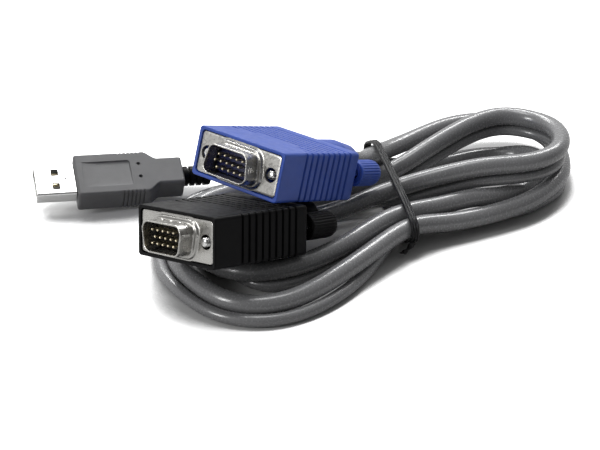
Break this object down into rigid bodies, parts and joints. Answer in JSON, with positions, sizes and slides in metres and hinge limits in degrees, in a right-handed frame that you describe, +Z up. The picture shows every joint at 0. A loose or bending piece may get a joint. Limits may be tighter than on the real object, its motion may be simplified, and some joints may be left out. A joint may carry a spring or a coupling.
{
  "type": "kvm cable",
  "caption": "Twin video and USB cable for a keyboard and screen switch, wound into a tied hank, with D-shaped video plugs whose thumbscrews turn, and a USB plug.",
  "frame": {"origin": "on the surface that the cable lies on, under the middle of its box", "axes": "+X along the hank from the plugs' end to the far loops, +Y away from the picture's viewer, +Z up"},
  "size_m": [0.1745, 0.1186, 0.0429],
  "materials": {
    "blue_moulding": "satin moulded",
    "black_moulding": "satin moulded",
    "grey_moulding": "fine matte texture",
    "nickel": "nickel plated",
    "bright_steel": "bright plated",
    "gold": "thin gold plate",
    "navy_insulator": "moulded",
    "black_insulator": "moulded",
    "white_tongue": "moulded",
    "cord_jacket": "smooth satin jacket",
    "tie_strip": "ribbed strip"
  },
  "bodies": {
    "cable": {"blue_hood": "blue_moulding", "blue_shell": "nickel", "blue_insulator": "navy_insulator", "blue_pin_01": "gold", "blue_pin_02": "gold", "blue_pin_03": "gold", "blue_pin_04": "gold", "blue_pin_05": "gold", "blue_pin_06": "gold", "blue_pin_07": "gold", "blue_pin_08": "gold", "blue_pin_09": "gold", "blue_pin_10": "gold", "blue_pin_11": "gold", "blue_pin_12": "gold", "blue_pin_13": "gold", "blue_pin_14": "gold", "blue_pin_15": "gold", "black_hood": "black_moulding", "black_shell": "nickel", "black_insulator": "black_insulator", "black_pin_01": "gold", "black_pin_02": "gold", "black_pin_03": "gold", "black_pin_04": "gold", "black_pin_05": "gold", "black_pin_06": "gold", "black_pin_07": "gold", "black_pin_08": "gold", "black_pin_09": "gold", "black_pin_10": "gold", "black_pin_11": "gold", "black_pin_12": "gold", "black_pin_13": "gold", "black_pin_14": "gold", "black_pin_15": "gold", "usb_body": "grey_moulding", "usb_shell": "bright_steel", "usb_tongue": "white_tongue", "usb_boot": "black_moulding", "usb_contact_1": "gold", "usb_contact_2": "gold", "usb_contact_3": "gold", "usb_contact_4": "gold", "video_cord": "cord_jacket", "usb_cord": "cord_jacket", "tie": "tie_strip"},
    "blue_thumbscrew_left": {"blue_screw_left": "bright_steel", "blue_knob_left": "blue_moulding"},
    "blue_thumbscrew_right": {"blue_screw_right": "bright_steel", "blue_knob_right": "blue_moulding"},
    "black_thumbscrew_left": {"black_screw_left": "bright_steel", "black_knob_left": "black_moulding"},
    "black_thumbscrew_right": {"black_screw_right": "bright_steel", "black_knob_right": "black_moulding"}
  },
  "joints": [
    {"name": "blue_left_turn", "type": "hinge", "parent": "cable", "child": "blue_thumbscrew_left", "pos_m": [-0.02903, -0.01573, 0.03507], "axis": [-0.6145, -0.702, 0.36], "continuous": true},
    {"name": "blue_right_turn", "type": "hinge", "parent": "cable", "child": "blue_thumbscrew_right", "pos_m": [-0.00997, -0.03187, 0.03613], "axis": [-0.6145, -0.702, 0.36], "continuous": true},
    {"name": "black_left_turn", "type": "hinge", "parent": "cable", "child": "black_thumbscrew_left", "pos_m": [-0.04541, -0.03745, 0.02079], "axis": [-0.7097, -0.6572, 0.2538], "continuous": true},
    {"name": "black_right_turn", "type": "hinge", "parent": "cable", "child": "black_thumbscrew_right", "pos_m": [-0.0278, -0.05415, 0.02681], "axis": [-0.7097, -0.6572, 0.2538], "continuous": true}
  ]
}
